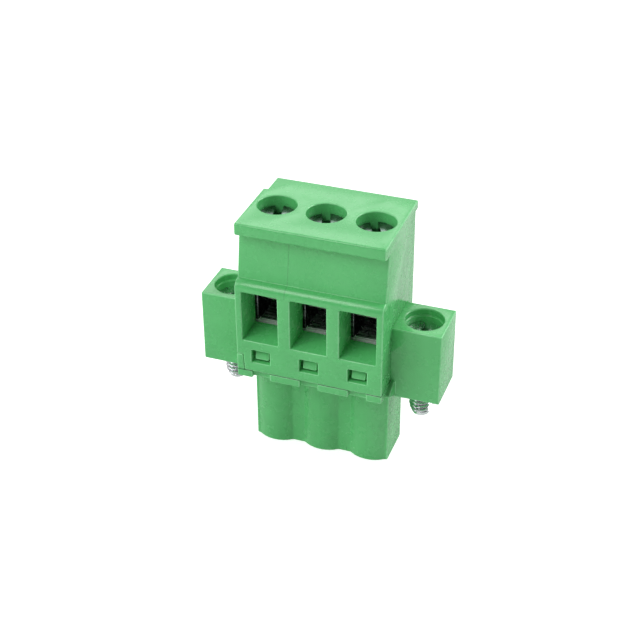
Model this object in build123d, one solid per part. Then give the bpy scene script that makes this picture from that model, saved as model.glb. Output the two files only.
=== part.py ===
from build123d import *
import os

# A pluggable screw terminal block plug with a screw flange at each end of its row of poles.
# It stands on its plug end. X runs along the row, Y from the wire side to the back, Z up from
# the plug end to the screw heads. The origin lies under the clamp screws, at the plug end.
# The lower housing holds the contacts and the flanges, and the upper housing snaps over it
# and holds the clamp screws, which raise the clamp cages. All sizes are in millimetres.

# Row of poles
pole_pitch = 5.08
pole_count = 3

# Outside of the upper housing, above the seam between the two housings
housing_depth = 10.9
housing_height = 27.1
cover_height = 10.2
ledge_depth = 0.96
ledge_radius = 0.85
neck_lean = 0.77
lip_height = 1.3
lip_setback = 0.5
lip_radius = 0.25
left_rebate_width = 0.45
left_rebate_depth = 2.65
right_rebate_width = 0.21
right_rebate_depth = 1.94
right_rebate_drop = 0.9

# Walls and seats of the two housings
front_wall = 1.1
rear_wall = 1.1
seat_gap = 0.05
ear_width = 0.62
ear_height = 1.8
ear_slant = 0.15

# Wire entries, which taper from the front face to the clamp chambers
entry_width = 3.77
entry_height = 5.58
entry_sill = 3.53
throat_width = 3.3
throat_rise = 0.45
throat_drop = 0.35

# Latch windows in the cover and the noses that snap into them
window_width = 1.96
window_height = 1.48
window_sill = 1.05
nose_gap = 0.25
nose_recess = 0.35
nose_slope = 0.3

# Clamp screws, in bores that open in the top face
access_radius = 1.98
head_radius = 1.84
head_height = 1.9
head_recess = 1.0
head_chamfer = 0.15
slot_width = 0.8
slot_depth = 0.85
slot_turns = (14, 20, 26)
thread_radius = 1.5
thread_pitch = 0.5
thread_gap = 0.03
tip_chamfer = 0.3
tip_gap = 0.05

# Clamp cages, drawn fully open
clamp_turns = 5
wire_gap = 2.6
cage_rise = 0.3
cage_width = 3.9
cage_depth = 3.8
cage_wall = 0.4
cage_floor = 0.65
cage_top = 1.6
cage_corner = 0.45
cage_side_gap = 0.1
cage_front_room = 0.45
cage_foot_room = 0.2
cage_head_room = 0.25
groove_pitch = 0.55
groove_width = 0.36
groove_depth = 0.16

# Contacts, each a bar under the screw, a leg behind the cage and two springs for the pin
bar_width = 2.6
bar_thickness = 0.8
bar_gap = 0.15
bar_setback = 0.3
leg_gap = 0.25
bend_radius = 0.65
contact_gap = 0.1
foot_height = 11.6
spring_width = 1.7
spring_thickness = 0.4
spring_spread = 1.9
pin_gap = 0.8
pinch_height = 3.4
mouth_spread = 1.7
mouth_height = 1.6

# Plug end of the lower housing
plug_length = 9.9
plug_width = 14.5
plug_front = 1.65
plug_back = 2.91
scallop_radius = 3.0
scallop_reach = 0.65
plug_floor = 0.9
pin_hole_radius = 0.75
pin_hole_lead = 0.4
pocket_width = 2.4
pocket_front = 1.35
pocket_back = 1.35

# Base plate between the housings, with tabs flush with the front face
plate_thickness = 0.84
plate_setback = 0.45
tab_width = 3.2

# Flanges at the ends of the row and their captive screws
flange_width = 5.04
flange_depth = 5.28
flange_height = 8.0
flange_drop = 1.0
flange_setback = 0.27
flange_rim_radius = 1.96
flange_rim_depth = 0.7
flange_bore_radius = 1.85
flange_floor = 4.69
flange_hole_radius = 1.15
flange_head_radius = 1.75
flange_head_height = 2.0
flange_neck_radius = 0.95
flange_thread_radius = 1.25
flange_thread_gap = 0.05
flange_screw_reach = 3.1
flange_tip_length = 1.0
flange_tip_radius = 0.85
gusset_width = 0.43
gusset_depth = 1.85
gusset_rise = 0.17
gusset_height = 0.72

# Levels and places that follow from the sizes above
body_half = pole_count * pole_pitch / 2
front_y = -housing_depth / 2
back_y = housing_depth / 2
pole_x = [(pole - (pole_count - 1) / 2) * pole_pitch for pole in range(pole_count)]
seam_z = plug_length + plate_thickness
ledge_z = seam_z + cover_height
lip_z = housing_height - lip_height
sill_z = seam_z + entry_sill
chamber_half = cage_width / 2 + cage_side_gap
wall_x = pole_x[-1] + chamber_half
chamber_front = -cage_depth / 2 - cage_front_room
chamber_back = cage_depth / 2 + cage_side_gap
cage_floor_z = sill_z + cage_rise
cage_bottom_z = cage_floor_z - cage_floor
bar_z = cage_floor_z + wire_gap
bar_top_z = bar_z + bar_thickness
cage_ceiling_z = bar_top_z + bar_gap
cage_top_z = cage_ceiling_z + cage_top
clamp_travel = clamp_turns * thread_pitch
chamber_top = cage_top_z + clamp_travel + cage_head_room
collar_z = cage_bottom_z - cage_foot_room
screw_head_z = housing_height - head_recess
leg_y = cage_depth / 2 + leg_gap
slot_back = leg_y + bar_thickness + contact_gap
foot_y = -spring_spread / 2 - spring_thickness
foot_z = foot_height - bar_thickness / 2
flange_z = plug_length - flange_drop
flange_top_z = flange_z + flange_height
flange_x = body_half + flange_width / 2
flange_seat_z = flange_z + flange_floor
collar_half = wall_x - seat_gap
collar_front = front_y + front_wall + seat_gap
collar_back = back_y - rear_wall - seat_gap
tiny = 0.001


def block(x_range, y_range, z_range):
    """A block between the given limits."""
    ranges = (x_range, y_range, z_range)
    middle = [sum(limits) / 2 for limits in ranges]
    return Pos(*middle) * Box(*[limits[1] - limits[0] for limits in ranges])


def side_face(points):
    """A face in the side view, from (depth, height) points."""
    return Plane.YZ * make_face(Polyline(*points, close=True))


def front_face(points, depth):
    """A face in the front view, from (across, height) points, at a given depth."""
    return Plane.XZ.offset(-depth) * make_face(Polyline(*points, close=True))


def edges_along_row(part, depth, height):
    """The edges along the row at a given depth and height."""
    def is_there(edge):
        middle = edge.center()
        return abs(middle.Y - depth) < tiny and abs(middle.Z - height) < tiny
    return part.edges().filter_by(Axis.X).filter_by(is_there)


def centred(width):
    """The limits of a width about zero."""
    return (-width / 2, width / 2)


def shifted(limits, offset):
    """The limits moved by an offset."""
    return (limits[0] + offset, limits[1] + offset)


def housing_prism():
    """The upper housing's outside: cover, rounded ledge, leaning neck and overhanging lip."""
    neck_low = front_y + ledge_depth
    neck_high = neck_low + neck_lean
    lip_y = front_y + lip_setback
    outline = [
        (front_y, seam_z),
        (front_y, ledge_z),
        (neck_low, ledge_z),
        (neck_high, lip_z),
        (lip_y, lip_z),
        (lip_y, housing_height),
        (back_y, housing_height),
        (back_y, seam_z),
    ]
    prism = extrude(side_face(outline), body_half, both=True)
    prism = fillet(edges_along_row(prism, front_y, ledge_z), ledge_radius)
    lip_edges = edges_along_row(prism, lip_y, lip_z) + edges_along_row(prism, lip_y, housing_height)
    return fillet(lip_edges, lip_radius)


def wire_funnel(x):
    """The space of one wire entry, from the front face back into the clamp chamber."""
    mouth = [
        (x - entry_width / 2, sill_z),
        (x + entry_width / 2, sill_z),
        (x + entry_width / 2, sill_z + entry_height),
        (x - entry_width / 2, sill_z + entry_height),
    ]
    throat = [
        (x - throat_width / 2, sill_z + throat_rise),
        (x + throat_width / 2, sill_z + throat_rise),
        (x + throat_width / 2, sill_z + entry_height - throat_drop),
        (x - throat_width / 2, sill_z + entry_height - throat_drop),
    ]
    return loft([front_face(mouth, front_y), front_face(throat, chamber_front)])


def clamp_chamber(x):
    """The space of one pole: cage chamber, slot for the contact's leg and screw bore."""
    across = shifted(centred(2 * chamber_half), x)
    cage_room = block(across, (chamber_front, chamber_back), (collar_z, chamber_top))
    leg_across = shifted(centred(bar_width + 2 * contact_gap), x)
    leg_room = block(leg_across, (0, slot_back), (collar_z, bar_top_z + contact_gap))
    bore_length = housing_height - chamber_top + thread_pitch
    bore = Pos(x, 0, housing_height - bore_length / 2) * Cylinder(access_radius, bore_length)
    return cage_room + leg_room + bore


def latch_window(x):
    """The opening of one latch window through the front wall."""
    across = shifted(centred(window_width), x)
    heights = (seam_z + window_sill, seam_z + window_sill + window_height)
    return block(across, (front_y, collar_front), heights)


def ear_prism(gap):
    """The corner ear at the left of the front, grown by a gap where it leaves its notch."""
    inner_x = -body_half + ear_width
    outline = [
        (-body_half, seam_z),
        (inner_x + ear_slant + gap, seam_z),
        (inner_x + gap, seam_z + ear_height + gap),
        (-body_half, seam_z + ear_height + gap),
    ]
    return extrude(front_face(outline, front_y), -(collar_front - front_y))


def upper_housing():
    """The upper housing, open below for the collar, the cages and the contacts."""
    body = housing_prism()
    left = (-body_half, -body_half + left_rebate_width)
    right = (body_half - right_rebate_width, body_half)
    body -= block(left, (back_y - left_rebate_depth, back_y), (seam_z, housing_height))
    right_rebate_top = housing_height - right_rebate_drop
    body -= block(right, (back_y - right_rebate_depth, back_y), (seam_z, right_rebate_top))
    room_depths = (front_y + front_wall, back_y - rear_wall)
    body -= block((-wall_x, wall_x), room_depths, (seam_z, collar_z + seat_gap))
    flange_span = shifted(centred(flange_depth + 2 * seat_gap), flange_setback)
    for side in (-1, 1):
        notch_x = sorted((side * wall_x, side * body_half))
        body -= block(notch_x, flange_span, (seam_z, flange_top_z + seat_gap))
    for x in pole_x:
        body -= clamp_chamber(x) + wire_funnel(x)
        body -= latch_window(x)
    return body - ear_prism(seat_gap)


def plug_end():
    """The plug end: a flat back, and a front that swells into a scallop before each contact."""
    profile = Pos(0, (plug_back - plug_front) / 2) * Rectangle(plug_width, plug_back + plug_front)
    front_strip = Pos(0, -plug_front) * Rectangle(plug_width, 2 * scallop_reach)
    for x in pole_x:
        scallop = Pos(x, scallop_radius - plug_front - scallop_reach) * Circle(scallop_radius)
        profile += scallop & front_strip
    return extrude(profile, plug_length)


def base_plate():
    """The plate under the seam, set back at the front between its tabs."""
    heights = (plug_length, seam_z)
    plate = block(centred(2 * body_half), (front_y + plate_setback, back_y), heights)
    boundaries = [-body_half] + [x + pole_pitch / 2 for x in pole_x]
    for boundary in boundaries:
        low = max(boundary - tab_width / 2, -body_half)
        high = min(boundary + tab_width / 2, body_half)
        plate += block((low, high), (front_y, front_y + plate_setback), heights)
    return plate


def latch_nose(x):
    """One latch nose on the front of the collar, sloped on top so that the cover slides on."""
    low_z = seam_z + window_sill + nose_gap
    high_z = seam_z + window_sill + window_height - nose_gap
    nose_y = front_y + nose_recess
    outline = [
        (collar_front, low_z),
        (nose_y, low_z),
        (nose_y + nose_slope, high_z),
        (collar_front, high_z),
    ]
    return Pos(x, 0, 0) * extrude(side_face(outline), window_width / 2 - nose_gap, both=True)


def flange(side):
    """One flange block with its stepped bore, its root in the side wall and its gusset."""
    span = shifted(centred(flange_depth), flange_setback)
    across = sorted((side * wall_x, side * (body_half + flange_width)))
    part = block(across, span, (flange_z, flange_top_z))
    root = sorted((side * (collar_half - cage_wall), side * wall_x))
    part += block(root, span, (seam_z, collar_z))
    front_z = plug_length + gusset_rise
    gusset = [
        (span[0], front_z + gusset_height),
        (span[0] - gusset_depth, front_z),
        (span[0] - gusset_depth, plug_length),
        (span[0], flange_z),
    ]
    gusset_x = side * (body_half + gusset_width / 2)
    return part + Pos(gusset_x, 0, 0) * extrude(side_face(gusset), gusset_width / 2, both=True)


def flange_bore(side):
    """The space of one flange's bore: rim, head bore and the hole that holds the screw's neck."""
    outline = [
        (0, flange_z),
        (flange_hole_radius, flange_z),
        (flange_hole_radius, flange_seat_z),
        (flange_bore_radius, flange_seat_z),
        (flange_bore_radius, flange_top_z - flange_rim_depth),
        (flange_rim_radius, flange_top_z - flange_rim_depth),
        (flange_rim_radius, flange_top_z),
        (0, flange_top_z),
    ]
    return Pos(side * flange_x, flange_setback, 0) * revolve(front_face(outline, 0), Axis.Z)


def contact_pocket(x):
    """The space of one contact in the lower housing, down to its pin hole."""
    foot_low = foot_height - bar_thickness
    across = shifted(centred(pocket_width), x)
    springs = block(across, (-pocket_front, pocket_back), (plug_floor, foot_low))
    wide = shifted(centred(bar_width + 2 * contact_gap), x)
    foot = block(wide, (-pocket_front, slot_back), (foot_low, collar_z))
    mouth = pin_hole_radius + pin_hole_lead
    hole = Pos(x, 0, plug_floor / 2) * Cylinder(pin_hole_radius, plug_floor)
    lead = Pos(x, 0, pin_hole_lead / 2) * Cone(mouth, pin_hole_radius, pin_hole_lead)
    return springs + foot + hole + lead


def lower_housing():
    """The lower housing: plug end, base plate, collar inside the cover, flanges and noses."""
    body = plug_end() + base_plate()
    body += block(centred(2 * collar_half), (collar_front, collar_back), (seam_z, collar_z))
    body += ear_prism(0)
    for side in (-1, 1):
        body += flange(side)
        body -= flange_bore(side)
    for x in pole_x:
        body += latch_nose(x)
        body -= contact_pocket(x)
    return body


def slotted_head(radius, height, top_z):
    """A screw head with a chamfered rim and a driver slot across it."""
    outline = [
        (0, top_z - height),
        (radius, top_z - height),
        (radius, top_z - head_chamfer),
        (radius - head_chamfer, top_z),
        (0, top_z),
    ]
    head = revolve(front_face(outline, 0), Axis.Z)
    slot = block(centred(3 * radius), centred(slot_width), (top_z - slot_depth, top_z + slot_depth))
    return head - Rot(0, 0, 90) * slot


def clamp_screw(x, turned):
    """One clamp screw, with its tip just above the contact's bar."""
    neck_z = screw_head_z - head_height
    tip_z = bar_top_z + tip_gap
    outline = [
        (0, neck_z + tiny),
        (thread_radius, neck_z + tiny),
        (thread_radius, tip_z + tip_chamfer),
        (thread_radius - tip_chamfer, tip_z),
        (0, tip_z),
    ]
    shank = revolve(front_face(outline, 0), Axis.Z)
    head = slotted_head(head_radius, head_height, screw_head_z)
    return Pos(x, 0, 0) * Rot(0, 0, turned) * (head + shank)


def cross_grooves(across, depths, level, upwards):
    """Sharp grooves along the row, cut into a face at a level, within the given depths."""
    count = int((depths[1] - depths[0]) / groove_pitch)
    reach = -groove_depth if upwards else groove_depth
    start = (depths[0] + depths[1] - (count - 1) * groove_pitch) / 2
    cut = []
    for index in range(count):
        middle = start + index * groove_pitch
        outline = [
            (middle - groove_width / 2, level),
            (middle + groove_width / 2, level),
            (middle, level + reach),
        ]
        cut.append(extrude(side_face(outline), across / 2, both=True))
    return cut


def clamp_cage(x):
    """One clamp cage: a bent loop round the bar, threaded on top and grooved on its floor."""
    height = cage_top_z - cage_bottom_z
    outside = RectangleRounded(cage_width, height, cage_corner)
    loop = extrude(Plane.XZ * Pos(0, cage_bottom_z + height / 2) * outside, cage_depth / 2, both=True)
    inside = centred(cage_width - 2 * cage_wall)
    loop -= block(inside, centred(cage_depth), (cage_floor_z, cage_ceiling_z))
    loop -= Pos(0, 0, cage_top_z - cage_top / 2) * Cylinder(thread_radius + thread_gap, cage_top)
    grooved = centred(cage_depth)
    for groove in cross_grooves(inside[1] - inside[0], grooved, cage_floor_z, True):
        loop -= groove
    return Pos(x, 0, 0) * loop


def contact(x):
    """One contact: bar through the cage, leg behind it, foot, and two springs for a pin."""
    bar_front = -cage_depth / 2 + bar_setback
    bar_middle_z = bar_z + bar_thickness / 2
    leg_middle_y = leg_y + bar_thickness / 2
    strip_line = FilletPolyline(
        (bar_front, bar_middle_z),
        (leg_middle_y, bar_middle_z),
        (leg_middle_y, foot_z),
        (foot_y, foot_z),
        radius=bend_radius,
    )
    strip = extrude(Plane.YZ * trace(strip_line, bar_thickness), bar_width / 2, both=True)
    for groove in cross_grooves(bar_width, (bar_front, cage_depth / 2), bar_z, False):
        strip -= groove
    root_y = (spring_spread + spring_thickness) / 2
    pinch_y = (pin_gap + spring_thickness) / 2
    mouth_y = (mouth_spread + spring_thickness) / 2
    for side in (-1, 1):
        spring_line = Polyline(
            (side * root_y, foot_z),
            (side * root_y, foot_z - bar_thickness),
            (side * pinch_y, pinch_height),
            (side * mouth_y, mouth_height),
        )
        strip += extrude(Plane.YZ * trace(spring_line, spring_thickness), spring_width / 2, both=True)
    return Pos(x, 0, 0) * strip


def flange_screw(side):
    """One captive flange screw, seated in its flange on a thin neck, with its thread below."""
    head_z = flange_seat_z + flange_head_height
    thread_z = flange_z - flange_thread_gap
    tip_z = flange_z - flange_screw_reach
    outline = [
        (0, flange_seat_z + tiny),
        (flange_neck_radius, flange_seat_z + tiny),
        (flange_neck_radius, thread_z),
        (flange_thread_radius, thread_z),
        (flange_thread_radius, tip_z + flange_tip_length),
        (flange_tip_radius, tip_z),
        (0, tip_z),
    ]
    shank = revolve(front_face(outline, 0), Axis.Z)
    head = slotted_head(flange_head_radius, flange_head_height, head_z)
    return Pos(side * flange_x, flange_setback, 0) * (head + shank)


parts = {
    "upper_housing": upper_housing(),
    "lower_housing": lower_housing(),
    "flange_screw_left": flange_screw(-1),
    "flange_screw_right": flange_screw(1),
}
for pole, x in enumerate(pole_x):
    turned = slot_turns[pole % len(slot_turns)]
    parts[f"clamp_screw_{pole + 1}"] = clamp_screw(x, turned)
    parts[f"clamp_cage_{pole + 1}"] = clamp_cage(x)
    parts[f"contact_{pole + 1}"] = contact(x)

os.makedirs("parts", exist_ok=True)
for name, solid in parts.items():
    export_step(solid, f"parts/{name}.step")
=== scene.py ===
import logging
import math
from contextlib import contextmanager
from dataclasses import dataclass
from enum import Enum
from typing import Callable, Iterator

import bmesh
import bpy
from mathutils import Matrix, Vector


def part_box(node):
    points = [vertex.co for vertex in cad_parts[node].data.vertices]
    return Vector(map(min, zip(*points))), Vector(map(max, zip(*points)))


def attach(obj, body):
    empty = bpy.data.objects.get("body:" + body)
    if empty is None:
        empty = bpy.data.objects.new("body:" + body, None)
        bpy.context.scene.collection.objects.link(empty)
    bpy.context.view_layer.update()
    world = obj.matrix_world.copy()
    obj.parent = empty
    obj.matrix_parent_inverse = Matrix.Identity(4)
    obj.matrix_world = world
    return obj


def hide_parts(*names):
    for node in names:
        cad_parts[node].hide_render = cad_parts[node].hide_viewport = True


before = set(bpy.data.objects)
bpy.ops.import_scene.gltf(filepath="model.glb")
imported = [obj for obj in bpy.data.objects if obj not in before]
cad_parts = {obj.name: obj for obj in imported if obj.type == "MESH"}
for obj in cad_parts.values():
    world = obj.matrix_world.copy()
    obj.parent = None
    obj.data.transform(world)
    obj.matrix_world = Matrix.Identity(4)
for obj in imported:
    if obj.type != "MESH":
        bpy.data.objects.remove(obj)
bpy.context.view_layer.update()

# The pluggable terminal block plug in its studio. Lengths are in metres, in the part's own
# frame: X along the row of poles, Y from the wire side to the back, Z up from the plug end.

LOG = logging.getLogger("terminal_plug")
MM = 0.001
UP = (0.0, 0.0, 1.0)
ALONG_ROW = (1.0, 0.0, 0.0)
TOUCH = 0.01 * MM  # how near a corner lies to a height to count as on it
NODE_WELD = 0.0005 * MM  # how near the corners of a CAD node lie to become one
THREAD_WELD = 0.001 * MM  # the same for a rolled thread
ON_PLANE = 0.0001 * MM  # how near a corner lies to a cut to count as on it


class FinishSlot(Enum):
    """The record's material slots."""

    HOUSING = "housing_plastic"
    SCREW = "screw_steel"
    CAGE = "cage_metal"
    CONTACT = "contact_metal"


class Cut(Enum):
    """How one closed mesh changes another."""

    TAKE_AWAY = "DIFFERENCE"
    KEEP_COMMON = "INTERSECT"
    ADD = "UNION"


# Work at the bench: selection, edit mode and modifiers


def pick_alone(piece: bpy.types.Object) -> None:
    """Deselects everything, then selects one piece and makes it active.

    Args:
        piece: The piece to work on.
    """
    bpy.ops.object.select_all(action="DESELECT")
    piece.select_set(True)
    bpy.context.view_layer.objects.active = piece


@contextmanager
def edit_mode(piece: bpy.types.Object) -> Iterator[bpy.types.Object]:
    """Opens a piece in edit mode with nothing selected, and closes it again.

    Args:
        piece: The piece to shape.

    Returns:
        The same piece, while it is in edit mode.
    """
    pick_alone(piece)
    bpy.ops.object.mode_set(mode="EDIT")
    bpy.ops.mesh.select_mode(type="VERT")
    bpy.ops.mesh.select_all(action="DESELECT")
    try:
        yield piece
    finally:
        bpy.ops.object.mode_set(mode="OBJECT")


def pick_faces(piece: bpy.types.Object, wanted: Callable[[bmesh.types.BMFace], bool]) -> None:
    """Selects the faces that pass a test, in edit mode.

    Args:
        piece: The piece that is open in edit mode.
        wanted: The test on each face, in the piece's own coordinates.
    """
    bpy.ops.mesh.select_mode(type="FACE")
    mesh = bmesh.from_edit_mesh(piece.data)
    for face in mesh.faces:
        face.select_set(wanted(face))
    bmesh.update_edit_mesh(piece.data)


def pick_edges(piece: bpy.types.Object, wanted: Callable[[bmesh.types.BMEdge], bool]) -> None:
    """Selects the edges that pass a test, in edit mode.

    Args:
        piece: The piece that is open in edit mode.
        wanted: The test on each edge, in the piece's own coordinates.
    """
    bpy.ops.mesh.select_mode(type="EDGE")
    mesh = bmesh.from_edit_mesh(piece.data)
    for edge in mesh.edges:
        edge.select_set(wanted(edge))
    bmesh.update_edit_mesh(piece.data)


def lies_at(height: float) -> Callable[[bmesh.types.BMEdge | bmesh.types.BMFace], bool]:
    """Makes the test that picks the edges or faces at a height.

    Args:
        height: The height, in the piece's own coordinates.

    Returns:
        The test.
    """
    return lambda part: all(abs(corner.co.z - height) < TOUCH for corner in part.verts)


def place_in_mesh(piece: bpy.types.Object) -> None:
    """Moves a piece's place, turn and scale into its mesh, so that it sits at the origin."""
    pick_alone(piece)
    bpy.ops.object.transform_apply(location=True, rotation=True, scale=True)


def add_modifier(piece: bpy.types.Object, kind: str, **settings: object) -> None:
    """Adds a modifier to a piece and applies it.

    Args:
        piece: The piece to change.
        kind: The modifier's type.
        settings: The modifier's settings by name.
    """
    pick_alone(piece)
    modifier = piece.modifiers.new(kind.title(), kind)
    for name, value in settings.items():
        setattr(modifier, name, value)
    bpy.ops.object.modifier_apply(modifier=modifier.name)


def cut_with(piece: bpy.types.Object, tool: bpy.types.Object, cut: Cut) -> None:
    """Changes a closed mesh by another one, which is then deleted.

    Args:
        piece: The piece to change.
        tool: The closed mesh that cuts it or is added to it.
        cut: How the tool changes the piece.
    """
    add_modifier(piece, "BOOLEAN", object=tool, operation=cut.value, solver="EXACT")
    bpy.data.objects.remove(tool)


def round_edges(
    piece: bpy.types.Object,
    width: float,
    steps: int,
    sharper_than: float,
    material: int = -1,
) -> None:
    """Rounds a piece's sharp edges.

    Args:
        piece: The piece to change.
        width: How far the rounding reaches from each edge.
        steps: The number of facets across each rounding.
        sharper_than: The angle in degrees above which an edge counts as sharp.
        material: The place of the roundings' material in the piece's list, or -1 for its own.
    """
    add_modifier(
        piece,
        "BEVEL",
        width=width,
        segments=steps,
        limit_method="ANGLE",
        angle_limit=math.radians(sharper_than),
        use_clamp_overlap=False,
        miter_outer="MITER_ARC",
        harden_normals=False,
        material=material,
    )


def bends_in(face: bmesh.types.BMFace) -> bool:
    """Tells whether a face lies in a hollow corner, below the faces beside it."""
    middle = face.calc_center_median()
    beside = (other for edge in face.edges for other in edge.link_faces)
    return sum(face.normal.dot(other.calc_center_median() - middle) for other in beside) > 0


def smooth_under(piece: bpy.types.Object, angle: float) -> None:
    """Shades a piece smooth, except across edges sharper than an angle in degrees."""
    pick_alone(piece)
    bpy.ops.object.shade_smooth_by_angle(angle=math.radians(angle))


def hole_centres() -> list[float]:
    """Finds the middle of every hole of the poles and the flanges.

    Returns:
        The places along the row, from left to right.
    """
    screws = [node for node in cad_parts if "screw" in node]
    return sorted(sum(corner.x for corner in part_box(screw)) / 2 for screw in screws)


def copy_of_node(node: str, name: str) -> bpy.types.Object:
    """Copies a CAD node's mesh as a new piece with shared corners and whole flat faces.

    The mesh is first parted through the middle of every hole, because a face that runs round a
    hole doesn't take a rounding.

    Args:
        node: The CAD node's name.
        name: The new piece's name.

    Returns:
        The new piece, at the origin.
    """
    piece = bpy.data.objects.new(name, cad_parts[node].data.copy())
    bpy.context.scene.collection.objects.link(piece)
    piece.data.materials.clear()
    pick_alone(piece)
    bpy.ops.mesh.customdata_custom_splitnormals_clear()
    with edit_mode(piece):
        bpy.ops.mesh.select_all(action="SELECT")
        bpy.ops.mesh.remove_doubles(threshold=NODE_WELD)
        for centre in hole_centres():
            bpy.ops.mesh.select_all(action="SELECT")
            bpy.ops.mesh.bisect(
                plane_co=(centre, 0.0, 0.0),
                plane_no=ALONG_ROW,
                threshold=ON_PLANE,
            )
            bpy.ops.mesh.mark_seam(clear=False)
        bpy.ops.mesh.select_all(action="SELECT")
        bpy.ops.mesh.dissolve_limited(angle_limit=math.radians(0.5), delimit={"SEAM"})
    return piece


# Finishes


class FinishBoard:
    """A new material and the nodes that make its finish."""

    def __init__(self, name: str) -> None:
        """Starts a material with its shader and the object's own coordinates.

        Args:
            name: The material's name.
        """
        self.material = bpy.data.materials.new(name)
        self.material.use_nodes = True
        self.nodes = self.material.node_tree.nodes
        self.links = self.material.node_tree.links
        self.shader = self.nodes["Principled BSDF"]
        self.place = self.nodes.new("ShaderNodeTexCoord").outputs["Object"]

    def join(self, source: bpy.types.NodeSocket, target: bpy.types.NodeSocket) -> None:
        """Links one socket to another."""
        self.links.new(source, target)

    def centred(self, centre: Vector, stretch: tuple[float, float, float]) -> bpy.types.NodeSocket:
        """Gives coordinates about a centre, stretched along each axis.

        Args:
            centre: The point of the object that becomes the pattern's centre.
            stretch: How many times finer the pattern is along each axis.

        Returns:
            The socket of the moved coordinates.
        """
        mapping = self.nodes.new("ShaderNodeMapping")
        mapping.vector_type = "POINT"
        mapping.inputs["Scale"].default_value = stretch
        mapping.inputs["Location"].default_value = [-c * s for c, s in zip(centre, stretch)]
        self.join(self.place, mapping.inputs["Vector"])
        return mapping.outputs["Vector"]

    def noise(
        self,
        where: bpy.types.NodeSocket,
        size: float,
        detail: float = 2.0,
    ) -> bpy.types.NodeSocket:
        """Gives a noise pattern.

        Args:
            where: The coordinates that the pattern follows.
            size: The size of its patches, in metres.
            detail: How many finer layers it has.

        Returns:
            The socket of the pattern's value.
        """
        texture = self.nodes.new("ShaderNodeTexNoise")
        texture.inputs["Scale"].default_value = 1.0 / size
        texture.inputs["Detail"].default_value = detail
        self.join(where, texture.inputs["Vector"])
        return texture.outputs["Fac"]

    def rings(self, where: bpy.types.NodeSocket, spacing: float) -> bpy.types.NodeSocket:
        """Gives rings about the vertical axis through the pattern's centre.

        Args:
            where: The coordinates, centred on the rings.
            spacing: The distance from ring to ring, in metres.

        Returns:
            The socket of the pattern's value.
        """
        texture = self.nodes.new("ShaderNodeTexWave")
        texture.wave_type = "RINGS"
        texture.rings_direction = "Z"
        texture.inputs["Scale"].default_value = 0.314 / spacing  # one ring each 2 pi / 20
        texture.inputs["Distortion"].default_value = 0.6
        texture.inputs["Detail"].default_value = 1.0
        self.join(where, texture.inputs["Vector"])
        return texture.outputs["Fac"]

    def band(self, *limits: tuple[str, float, float]) -> bpy.types.NodeSocket:
        """Gives a straight band or line.

        Args:
            limits: The band's limits, each an axis, the band's middle on it and its width along it.

        Returns:
            The socket of the pattern's value: 1 on the band and 0 beside it.
        """
        parts = self.nodes.new("ShaderNodeSeparateXYZ")
        self.join(self.place, parts.inputs[0])
        inside = None
        for axis, middle, width in limits:
            near = self.nodes.new("ShaderNodeMath")
            near.operation = "COMPARE"
            near.inputs[1].default_value = middle
            near.inputs[2].default_value = width / 2
            self.join(parts.outputs[axis], near.inputs[0])
            if inside is None:
                inside = near.outputs[0]
            else:
                both = self.nodes.new("ShaderNodeMath")
                both.operation = "MULTIPLY"
                self.join(inside, both.inputs[0])
                self.join(near.outputs[0], both.inputs[1])
                inside = both.outputs[0]
        return inside

    def ramp(self, value: bpy.types.NodeSocket, low: float, high: float) -> bpy.types.NodeSocket:
        """Spreads a pattern between two values.

        Args:
            value: The pattern, from 0 to 1.
            low: What the pattern's low end becomes.
            high: What the pattern's high end becomes.

        Returns:
            The socket of the spread value.
        """
        spread = self.nodes.new("ShaderNodeMapRange")
        spread.inputs["From Min"].default_value = 0.3
        spread.inputs["From Max"].default_value = 0.7
        spread.inputs["To Min"].default_value = low
        spread.inputs["To Max"].default_value = high
        self.join(value, spread.inputs["Value"])
        return spread.outputs["Result"]

    def colours(
        self,
        value: bpy.types.NodeSocket,
        first: tuple[float, float, float],
        second: tuple[float, float, float],
    ) -> None:
        """Colours the shader between two colours by a pattern.

        Args:
            value: The pattern, from 0 to 1.
            first: The colour at the pattern's low end.
            second: The colour at its high end.
        """
        mix = self.nodes.new("ShaderNodeValToRGB")
        mix.color_ramp.elements[0].position = 0.3
        mix.color_ramp.elements[1].position = 0.7
        mix.color_ramp.elements[0].color = (*first, 1.0)
        mix.color_ramp.elements[1].color = (*second, 1.0)
        self.join(value, mix.inputs["Fac"])
        self.join(mix.outputs["Color"], self.shader.inputs["Base Color"])

    def tint(
        self,
        where: bpy.types.NodeSocket,
        blend: str,
        tone: tuple[float, float, float],
    ) -> None:
        """Blends a tone into the colour where a pattern is 1.

        Args:
            where: The pattern, from 0 to 1.
            blend: How the tone joins the colour.
            tone: The tone.
        """
        colour = self.shader.inputs["Base Color"]
        mix = self.nodes.new("ShaderNodeMix")
        mix.data_type = "RGBA"
        mix.blend_type = blend
        self.join(where, mix.inputs[0])
        self.join(colour.links[0].from_socket, mix.inputs[6])
        mix.inputs[7].default_value = (*tone, 1.0)
        self.join(mix.outputs[2], colour)

    def bumps(self, value: bpy.types.NodeSocket, height: float, strength: float) -> None:
        """Raises the surface by a pattern, on top of the bumps that it already has.

        Args:
            value: The pattern, from 0 to 1.
            height: The height of the bumps, in metres.
            strength: How much of them shows, from 0 to 1.
        """
        bump = self.nodes.new("ShaderNodeBump")
        bump.inputs["Distance"].default_value = height
        bump.inputs["Strength"].default_value = strength
        normal = self.shader.inputs["Normal"]
        if normal.is_linked:
            self.join(normal.links[0].from_socket, bump.inputs["Normal"])
        self.join(value, bump.inputs["Height"])
        self.join(bump.outputs["Normal"], normal)


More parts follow.
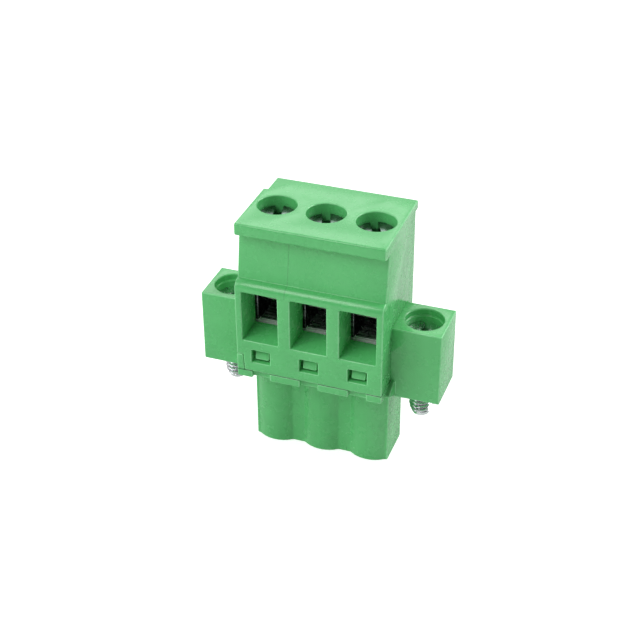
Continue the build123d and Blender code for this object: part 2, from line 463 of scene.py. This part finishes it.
@dataclass(frozen=True)
class GreenPolyamide:
    """The green moulded plastic of both housings: satin, faintly uneven, with a fine parting line
    and a painted shade line along the seam between the housings.
    """

    name: str = "green_polyamide"
    light: tuple[float, float, float] = (0.112, 0.535, 0.172)
    deep: tuple[float, float, float] = (0.098, 0.505, 0.156)
    roughness: tuple[float, float] = (0.22, 0.30)
    refraction: float = 1.53
    witness_x: float = -2.42 * MM
    witness_z: tuple[float, float] = (22.9 * MM, 6.0 * MM)
    witness_width: float = 0.10 * MM
    witness_shade: float = 0.82
    seam_z: float = 10.74 * MM
    seam_length: float = 15.3 * MM
    seam_width: float = 0.12 * MM
    seam_shade: float = 0.35

    def make(self) -> bpy.types.Material:
        """Makes the material."""
        board = FinishBoard(self.name)
        board.shader.inputs["IOR"].default_value = self.refraction
        board.colours(board.noise(board.place, 3.2 * MM, 3.0), self.deep, self.light)
        witness = board.band(("X", self.witness_x, self.witness_width), ("Z", *self.witness_z))
        board.tint(witness, "MULTIPLY", (self.witness_shade,) * 3)
        # Painted shade: a dark line along the seam where the upper housing meets the plug
        # moulding's plate.
        seam_shadow = board.band(("Z", self.seam_z, self.seam_width), ("X", 0.0, self.seam_length))
        board.tint(seam_shadow, "MULTIPLY", (self.seam_shade,) * 3)
        board.join(
            board.ramp(board.noise(board.place, 0.9 * MM, 4.0), *self.roughness),
            board.shader.inputs["Roughness"],
        )
        board.bumps(board.noise(board.place, 2.4 * MM, 1.0), 0.02 * MM, 0.12)
        return board.material


@dataclass(frozen=True)
class ZincPlate:
    """Bright zinc-plated steel with fine turning rings about the screw's axis."""

    name: str
    axis: Vector
    light: tuple[float, float, float]
    deep: tuple[float, float, float]
    roughness: tuple[float, float] = (0.16, 0.30)

    def make(self) -> bpy.types.Material:
        """Makes the material."""
        board = FinishBoard(self.name)
        board.shader.inputs["Metallic"].default_value = 1.0
        about_axis = board.centred(self.axis, (1.0, 1.0, 1.0))
        board.colours(board.noise(board.place, 0.7 * MM, 4.0), self.deep, self.light)
        board.join(
            board.ramp(board.noise(board.place, 0.25 * MM, 4.0), *self.roughness),
            board.shader.inputs["Roughness"],
        )
        board.bumps(board.rings(about_axis, 0.09 * MM), 0.003 * MM, 0.35)
        board.bumps(board.noise(board.place, 0.12 * MM, 3.0), 0.004 * MM, 0.3)
        return board.material


@dataclass(frozen=True)
class NickelStrip:
    """Nickel-plated strip, drawn along the bend, darkened all over as painted shade inside the
    housing, with a painted glint along its floor's front edge.
    """

    name: str = "nickel_strip"
    # The dark colours are painted shade: the strip is kept far darker than nickel plate so the cage
    # reads dark deep inside the housing.
    light: tuple[float, float, float] = (0.36, 0.37, 0.38)
    deep: tuple[float, float, float] = (0.10, 0.10, 0.11)
    roughness: tuple[float, float] = (0.22, 0.42)
    mouth_z: tuple[float, float] = (14.47 * MM, 0.40 * MM)
    mouth_y: tuple[float, float] = (-1.60 * MM, 0.62 * MM)
    painted_glint_tone: tuple[float, float, float] = (1.0, 1.0, 1.0)
    painted_glint_metal: float = 0.1

    def make(self) -> bpy.types.Material:
        """Makes the material."""
        board = FinishBoard(self.name)
        board.shader.inputs["Metallic"].default_value = 1.0
        drawn = board.centred(Vector((0.0, 0.0, 0.0)), (0.25, 1.0, 1.0))
        board.colours(board.noise(drawn, 0.3 * MM, 4.0), self.deep, self.light)
        # Painted glint: a white, less metallic band along the front edge of the cage floor.
        painted_glint = board.band(("Z", *self.mouth_z), ("Y", *self.mouth_y))
        board.tint(painted_glint, "MIX", self.painted_glint_tone)
        board.join(board.ramp(painted_glint, 1.0, self.painted_glint_metal), board.shader.inputs["Metallic"])
        board.join(
            board.ramp(board.noise(drawn, 0.14 * MM, 3.0), *self.roughness),
            board.shader.inputs["Roughness"],
        )
        board.bumps(board.noise(drawn, 0.10 * MM, 3.0), 0.012 * MM, 0.5)
        return board.material


@dataclass(frozen=True)
class TinPlate:
    """Matt tin plate on the copper contacts, with faint drawing marks."""

    name: str = "tin_plate"
    light: tuple[float, float, float] = (0.74, 0.74, 0.72)
    deep: tuple[float, float, float] = (0.60, 0.59, 0.56)
    roughness: tuple[float, float] = (0.30, 0.44)

    def make(self) -> bpy.types.Material:
        """Makes the material."""
        board = FinishBoard(self.name)
        board.shader.inputs["Metallic"].default_value = 1.0
        drawn = board.centred(Vector((0.0, 0.0, 0.0)), (1.0, 1.0, 0.2))
        board.colours(board.noise(board.place, 0.6 * MM, 3.0), self.deep, self.light)
        board.join(
            board.ramp(board.noise(drawn, 0.2 * MM, 3.0), *self.roughness),
            board.shader.inputs["Roughness"],
        )
        board.bumps(board.noise(drawn, 0.08 * MM, 2.0), 0.004 * MM, 0.35)
        return board.material


# Pieces of the plug


def hand_over(
    piece: bpy.types.Object,
    node: str,
    body: str,
    material: bpy.types.Material,
) -> None:
    """Gives a finished piece its material and its body, and hides the CAD node that it stands for.

    Args:
        piece: The finished piece.
        node: The CAD node that it replaces.
        body: The body that it moves with.
        material: Its material, if it has none yet.
    """
    if not piece.data.materials:
        piece.data.materials.append(material)
    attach(piece, body)
    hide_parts(node)
    LOG.info("%s: %d faces on %s", piece.name, len(piece.data.polygons), body)


@dataclass
class HousingShell:
    """One moulded housing, with the small roundings of its mould on every edge, the outward ones
    lighter as a painted highlight.
    """

    node: str
    name: str
    edge_radius: float = 0.11 * MM
    edge_steps: int = 3
    sharp_angle: float = 35.0

    def build(self, material: bpy.types.Material, painted_highlight_material: bpy.types.Material) -> None:
        """Copies the CAD housing, rounds its edges and hands it over.

        Args:
            material: The plastic's material.
            painted_highlight_material: A lighter copy of the plastic, a painted highlight on the
                outward edges.
        """
        piece = copy_of_node(self.node, self.name)
        piece.data.materials.append(material)
        piece.data.materials.append(painted_highlight_material)
        round_edges(piece, self.edge_radius, self.edge_steps, self.sharp_angle, material=1)
        # Hollow roundings go back to the plain plastic, so the painted highlight lies only on the
        # outward edges.
        with edit_mode(piece):
            pick_faces(piece, lambda face: face.material_index == 1 and bends_in(face))
            piece.active_material_index = 0
            bpy.ops.object.material_slot_assign()
        smooth_under(piece, 40.0)
        hand_over(piece, self.node, "housing", material)


@dataclass
class SheetMetalPiece:
    """A bent or stamped metal piece, with its burred edges worn round."""

    node: str
    name: str
    body: str
    slot: FinishSlot
    edge_radius: float = 0.04 * MM

    def build(self, material: bpy.types.Material) -> None:
        """Copies the CAD piece, rounds its edges and hands it over.

        Args:
            material: The metal's material.
        """
        piece = copy_of_node(self.node, self.name)
        round_edges(piece, self.edge_radius, 2, 40.0)
        smooth_under(piece, 40.0)
        hand_over(piece, self.node, self.body, material)


@dataclass
class ThreadedScrew:
    """A slotted screw with a rolled thread on its shank."""

    node: str
    name: str
    body: str
    turned: float
    head_height: float
    slot_width: float
    slot_depth: float
    thread_radius: float
    thread_depth: float
    pitch: float
    thread_length: float
    tip_length: float
    tip_radius: float
    neck_radius: float
    light: tuple[float, float, float] = (0.78, 0.80, 0.82)
    deep: tuple[float, float, float] = (0.55, 0.58, 0.60)
    rim: float = 0.15 * MM
    neck_rim: float = 0.06 * MM
    tip_rim: float = 0.08 * MM
    edge_radius: float = 0.025 * MM
    stock: float = 0.02 * MM
    neck_lap: float = 0.1 * MM
    facets: int = 48

    def __post_init__(self) -> None:
        """Reads the screw's place from the CAD node."""
        low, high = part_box(self.node)
        self.head_radius = (high.x - low.x) / 2
        self.axis = Vector(((low.x + high.x) / 2, (low.y + high.y) / 2, 0.0))
        self.tip_z = low.z
        self.top_z = high.z
        self.neck_z = high.z - self.head_height

    def at(self, height: float) -> Vector:
        """Gives the point on the screw's axis at a height."""
        return Vector((self.axis.x, self.axis.y, height))

    def turned_cylinder(self, radius: float, low: float, high: float) -> bpy.types.Object:
        """Adds a cylinder about the screw's axis.

        Args:
            radius: The cylinder's radius.
            low: The height of its lower end.
            high: The height of its upper end.

        Returns:
            The new cylinder.
        """
        bpy.ops.object.select_all(action="DESELECT")
        bpy.ops.mesh.primitive_cylinder_add(
            vertices=self.facets,
            radius=radius,
            depth=high - low,
            location=self.at((low + high) / 2),
        )
        cylinder = bpy.context.active_object
        place_in_mesh(cylinder)
        return cylinder

    def make_head(self) -> bpy.types.Object:
        """Turns the head, rounds its rim and mills its slot.

        Returns:
            The head.
        """
        head = self.turned_cylinder(self.head_radius, self.neck_z, self.top_z)
        with edit_mode(head):
            pick_edges(head, lies_at(self.top_z))
            bpy.ops.mesh.bevel(offset=self.rim, segments=3, affect="EDGES")
            pick_edges(head, lies_at(self.neck_z))
            bpy.ops.mesh.bevel(offset=self.neck_rim, segments=2, affect="EDGES")
        bpy.ops.object.select_all(action="DESELECT")
        bpy.ops.mesh.primitive_cube_add(
            size=1.0,
            location=self.at(self.top_z),
            rotation=(0.0, 0.0, math.radians(self.turned)),
            scale=(self.slot_width, 3 * self.head_radius, 2 * self.slot_depth),
        )
        mill = bpy.context.active_object
        place_in_mesh(mill)
        cut_with(head, mill, Cut.TAKE_AWAY)
        return head

    def make_thread(self) -> bpy.types.Object:
        """Rolls the thread: one pitch of its outline is swept up a helix and trimmed.

        Returns:
            The threaded rod with its tapered tip.
        """
        root = self.thread_radius - self.thread_depth
        shoulder = self.thread_radius - 0.25 * self.thread_depth
        outline = [
            (root, 0.0),
            (root, 0.10),
            (shoulder, 0.38),
            (self.thread_radius, 0.50),
            (shoulder, 0.62),
            (root, 0.90),
            (root, 1.0),
        ]
        top = self.tip_z + self.thread_length
        turns = math.ceil(self.thread_length / self.pitch) + 3
        bpy.ops.object.select_all(action="DESELECT")
        start = self.at(self.tip_z - 1.5 * self.pitch)
        bpy.ops.mesh.primitive_plane_add(size=0.01 * MM, location=start)
        rod = bpy.context.active_object
        with edit_mode(rod):
            bpy.ops.mesh.select_all(action="SELECT")
            bpy.ops.mesh.merge(type="CENTER")
            bpy.ops.mesh.select_all(action="SELECT")
            bpy.ops.transform.translate(value=(root, 0.0, 0.0))
            for before, after in zip(outline, outline[1:]):
                step = (after[0] - before[0], 0.0, (after[1] - before[1]) * self.pitch)
                bpy.ops.mesh.extrude_region_move(TRANSFORM_OT_translate={"value": step})
        add_modifier(
            rod,
            "SCREW",
            axis="Z",
            angle=2 * math.pi,
            screw_offset=self.pitch,
            iterations=turns,
            steps=self.facets,
            render_steps=self.facets,
            use_merge_vertices=True,
            merge_threshold=THREAD_WELD,
        )
        place_in_mesh(rod)
        with edit_mode(rod):
            bpy.ops.mesh.select_all(action="SELECT")
            bpy.ops.mesh.remove_doubles(threshold=THREAD_WELD)
            for height, above in ((self.tip_z, False), (top, True)):
                bpy.ops.mesh.select_all(action="SELECT")
                bpy.ops.mesh.bisect(
                    plane_co=self.at(height),
                    plane_no=UP,
                    use_fill=True,
                    clear_inner=not above,
                    clear_outer=above,
                    threshold=ON_PLANE,
                )
            bpy.ops.mesh.select_all(action="SELECT")
            bpy.ops.mesh.normals_make_consistent(inside=False)
        cut_with(rod, self.make_envelope(top), Cut.KEEP_COMMON)
        return rod

    def make_envelope(self, top: float) -> bpy.types.Object:
        """Makes the blank that the thread was rolled on, tapered at its tip.

        Args:
            top: The height of the blank's upper end.

        Returns:
            The blank.
        """
        radius = self.thread_radius + self.stock
        shrink = self.tip_radius / radius
        blank = self.turned_cylinder(radius, self.tip_z, top + self.pitch)
        with edit_mode(blank):
            bpy.ops.mesh.select_all(action="SELECT")
            bpy.ops.mesh.bisect(plane_co=self.at(self.tip_z + self.tip_length), plane_no=UP)
            pick_faces(blank, lies_at(self.tip_z))
            bpy.ops.transform.resize(
                value=(shrink, shrink, 1.0),
                center_override=self.at(self.tip_z),
            )
            pick_edges(blank, lies_at(self.tip_z))
            bpy.ops.mesh.bevel(offset=self.tip_rim, segments=3, affect="EDGES")
        return blank

    def build(self) -> None:
        """Makes the whole screw and hands it over."""
        piece = self.make_head()
        neck_low = self.tip_z + self.thread_length - self.stock
        if neck_low < self.neck_z:
            neck_high = self.neck_z + self.neck_lap
            neck = self.turned_cylinder(self.neck_radius, neck_low, neck_high)
            cut_with(piece, neck, Cut.ADD)
        cut_with(piece, self.make_thread(), Cut.ADD)
        piece.name = self.name
        piece.data.name = self.name
        round_edges(piece, self.edge_radius, 2, 50.0)
        smooth_under(piece, 35.0)
        material = ZincPlate(f"zinc_{self.node}", self.axis, self.light, self.deep).make()
        hand_over(piece, self.node, self.body, material)


# Studio


@dataclass
class PhotoCamera:
    """The camera at the photograph's viewing angle."""

    lens: float = 78.75
    sensor: float = 36.0
    place: tuple[float, float, float] = (0.0399817, -0.1117778, 0.0915264)
    right: tuple[float, float, float] = (0.940661, 0.339317, -0.004537)
    up: tuple[float, float, float] = (-0.180562, 0.511786, 0.839924)
    back: tuple[float, float, float] = (0.287323, -0.789265, 0.542685)

    def build(self) -> None:
        """Makes the camera and sets it as the scene's camera."""
        data = bpy.data.cameras.new("photo_camera")
        data.lens = self.lens
        data.sensor_width = self.sensor
        data.clip_start = 0.005
        data.clip_end = 10.0
        camera = bpy.data.objects.new("photo_camera", data)
        bpy.context.scene.collection.objects.link(camera)
        axes = Matrix((self.right, self.up, self.back)).transposed()
        camera.matrix_world = Matrix.Translation(self.place) @ axes.to_4x4()
        bpy.context.scene.camera = camera


@dataclass
class SoftBox:
    """A square studio lamp that points at the plug."""

    name: str
    place: tuple[float, float, float]
    size: float
    power: float
    target: tuple[float, float, float] = (0.0, 0.0, 0.014)

    def build(self) -> None:
        """Makes the lamp."""
        data = bpy.data.lights.new(self.name, "AREA")
        data.shape = "SQUARE"
        data.size = self.size
        data.energy = self.power
        lamp = bpy.data.objects.new(self.name, data)
        bpy.context.scene.collection.objects.link(lamp)
        lamp.location = self.place
        aim = Vector(self.target) - Vector(self.place)
        lamp.rotation_mode = "QUATERNION"
        lamp.rotation_quaternion = aim.to_track_quat("-Z", "Y")


@dataclass
class Studio:
    """White surroundings, a pale floor and soft lamps."""

    ambient: float = 0.17
    front_gloss: float = 0.06
    back_gloss: float = 0.80
    gloss_turn: float = 0.4
    floor_size: float = 3.0
    floor_drop: float = 0.02 * MM
    floor_tone: tuple[float, float, float, float] = (0.86, 0.86, 0.86, 1.0)
    floor_glow: float = 0.55
    glow_start: float = 0.08
    glow_full: float = 0.35
    lamps: tuple[SoftBox, ...] = (
        SoftBox("high_softbox", (-0.138, -0.177, 0.570), 0.24, 0.16),
        SoftBox("front_softbox", (-0.178, -0.335, 0.479), 0.30, 1.42),
        SoftBox("left_softbox", (-0.494, -0.285, 0.199), 0.34, 1.15),
        SoftBox("rear_softbox", (-0.213, 0.400, 0.408), 0.33, 0.68),
        SoftBox("right_softbox", (0.362, 0.304, 0.383), 0.36, 2.6),
    )

    def build_world(self) -> None:
        """Makes surroundings that are white to look at, and darker in front in reflections."""
        world = bpy.data.worlds.new("white_studio")
        bpy.context.scene.world = world
        world.use_nodes = True
        nodes, links = world.node_tree.nodes, world.node_tree.links

        def combine(operation: str, *values: bpy.types.NodeSocket | float) -> bpy.types.NodeSocket:
            """Joins sockets or numbers in a math node.

            Args:
                operation: What the node does.
                values: The sockets or numbers that it works on.

            Returns:
                The socket of the result.
            """
            node = nodes.new("ShaderNodeMath")
            node.operation = operation
            for place, value in zip(node.inputs, values):
                if isinstance(value, bpy.types.NodeSocket):
                    links.new(value, place)
                else:
                    place.default_value = value
            return node.outputs[0]

        path = nodes.new("ShaderNodeLightPath")
        direction = nodes.new("ShaderNodeSeparateXYZ")
        links.new(nodes.new("ShaderNodeTexCoord").outputs["Generated"], direction.inputs[0])
        spread = nodes.new("ShaderNodeMapRange")
        spread.inputs["From Min"].default_value = -self.gloss_turn
        spread.inputs["From Max"].default_value = self.gloss_turn
        spread.inputs["To Min"].default_value = self.front_gloss - self.ambient
        spread.inputs["To Max"].default_value = self.back_gloss - self.ambient
        links.new(direction.outputs["Y"], spread.inputs["Value"])
        mirrored = combine(
            "MAXIMUM", path.outputs["Is Glossy Ray"], path.outputs["Is Transmission Ray"]
        )
        reflected = combine("MULTIPLY", mirrored, spread.outputs["Result"])
        softer = combine("ADD", reflected, self.ambient)
        background = nodes["Background"]
        background.inputs["Color"].default_value = (1.0, 1.0, 1.0, 1.0)
        strength = combine("MAXIMUM", path.outputs["Is Camera Ray"], softer)
        links.new(strength, background.inputs["Strength"])

    def build_floor(self) -> None:
        """Makes the floor: white to the camera, with the plug's shadow left on it."""
        bpy.ops.object.select_all(action="DESELECT")
        under = (0.0, 0.0, -self.floor_drop)
        bpy.ops.mesh.primitive_plane_add(size=self.floor_size, location=under)
        floor = bpy.context.active_object
        floor.name = "floor"
        place_in_mesh(floor)
        material = bpy.data.materials.new("pale_floor")
        material.use_nodes = True
        nodes, links = material.node_tree.nodes, material.node_tree.links
        shader = nodes["Principled BSDF"]
        shader.inputs["Base Color"].default_value = self.floor_tone
        shader.inputs["Roughness"].default_value = 0.9
        shader.inputs["Specular IOR Level"].default_value = 0.0
        path = nodes.new("ShaderNodeLightPath")
        distance = nodes.new("ShaderNodeVectorMath")
        distance.operation = "LENGTH"
        links.new(nodes.new("ShaderNodeTexCoord").outputs["Object"], distance.inputs[0])
        spread = nodes.new("ShaderNodeMapRange")
        spread.inputs["From Min"].default_value = self.glow_start
        spread.inputs["From Max"].default_value = self.glow_full
        spread.inputs["To Min"].default_value = self.floor_glow
        spread.inputs["To Max"].default_value = 1.0
        links.new(distance.outputs["Value"], spread.inputs["Value"])
        glow = nodes.new("ShaderNodeMath")
        glow.operation = "MULTIPLY"
        links.new(path.outputs["Is Camera Ray"], glow.inputs[0])
        links.new(spread.outputs["Result"], glow.inputs[1])
        shader.inputs["Emission Color"].default_value = (1.0, 1.0, 1.0, 1.0)
        links.new(glow.outputs[0], shader.inputs["Emission Strength"])
        floor.data.materials.append(material)

    def build(self) -> None:
        """Makes the surroundings, the floor and the lamps."""
        self.build_world()
        self.build_floor()
        for lamp in self.lamps:
            lamp.build()
        bpy.context.scene.view_settings.view_transform = "Standard"


@dataclass
class TerminalPlug:
    """The whole plug: two housings, three poles and two flange screws."""

    slot_turns: tuple[float, float, float] = (14.0, 20.0, 26.0)

    def build_housings(self) -> None:
        """Makes both housings in the green plastic."""
        plastic = GreenPolyamide().make()
        # The second plastic is a lighter copy for the outward roundings: a painted highlight.
        edge = GreenPolyamide("green_polyamide_painted_highlight", (0.24, 0.70, 0.31), (0.20, 0.66, 0.27)).make()
        HousingShell("upper_housing", "cover_moulding").build(plastic, edge)
        HousingShell("lower_housing", "plug_moulding").build(plastic, edge)

    def build_pole(self, number: int, turned: float) -> None:
        """Makes one pole's screw.

        Args:
            number: The pole's number, from 1.
            turned: How far its screw is turned, in degrees.
        """
        ThreadedScrew(
            node=f"clamp_screw_{number}",
            name=f"slotted_clamp_screw_{number}",
            body=f"clamp_screw_{number}",
            turned=turned,
            head_height=1.9 * MM,
            slot_width=0.8 * MM,
            slot_depth=0.85 * MM,
            thread_radius=1.5 * MM,
            thread_depth=0.30 * MM,
            pitch=0.5 * MM,
            thread_length=6.23 * MM,
            tip_length=0.3 * MM,
            tip_radius=1.2 * MM,
            neck_radius=1.3 * MM,
            # Dark green-tinted colours: painted shade of the deep bores and a painted reflection of
            # their green walls on the zinc plate.
            light=(0.15, 0.22, 0.18),
            deep=(0.06, 0.10, 0.08),
        ).build()

    def build_flange_screw(self, side: str) -> None:
        """Makes the captive screw of one flange.

        Args:
            side: The flange's side, left or right.
        """
        ThreadedScrew(
            node=f"flange_screw_{side}",
            name=f"captive_flange_screw_{side}",
            body=f"flange_screw_{side}",
            turned=0.0,
            head_height=2.0 * MM,
            slot_width=0.8 * MM,
            slot_depth=0.85 * MM,
            thread_radius=1.25 * MM,
            thread_depth=0.27 * MM,
            pitch=0.45 * MM,
            thread_length=3.05 * MM,
            tip_length=1.0 * MM,
            tip_radius=0.85 * MM,
            neck_radius=0.95 * MM,
        ).build()

    def build(self) -> None:
        """Makes every piece of the plug."""
        self.build_housings()
        nickel = NickelStrip().make()
        tin = TinPlate().make()
        for number, turned in enumerate(self.slot_turns, start=1):
            self.build_pole(number, turned)
            SheetMetalPiece(
                node=f"clamp_cage_{number}",
                name=f"bent_clamp_cage_{number}",
                body=f"clamp_cage_{number}",
                slot=FinishSlot.CAGE,
            ).build(nickel)
            SheetMetalPiece(
                node=f"contact_{number}",
                name=f"stamped_contact_{number}",
                body="housing",
                slot=FinishSlot.CONTACT,
            ).build(tin)
        for side in ("left", "right"):
            self.build_flange_screw(side)


def main() -> None:
    """Builds the studio and the plug."""
    logging.basicConfig(level=logging.INFO, format="%(message)s")
    PhotoCamera().build()
    Studio().build()
    TerminalPlug().build()


if __name__ == "__main__":
    main()
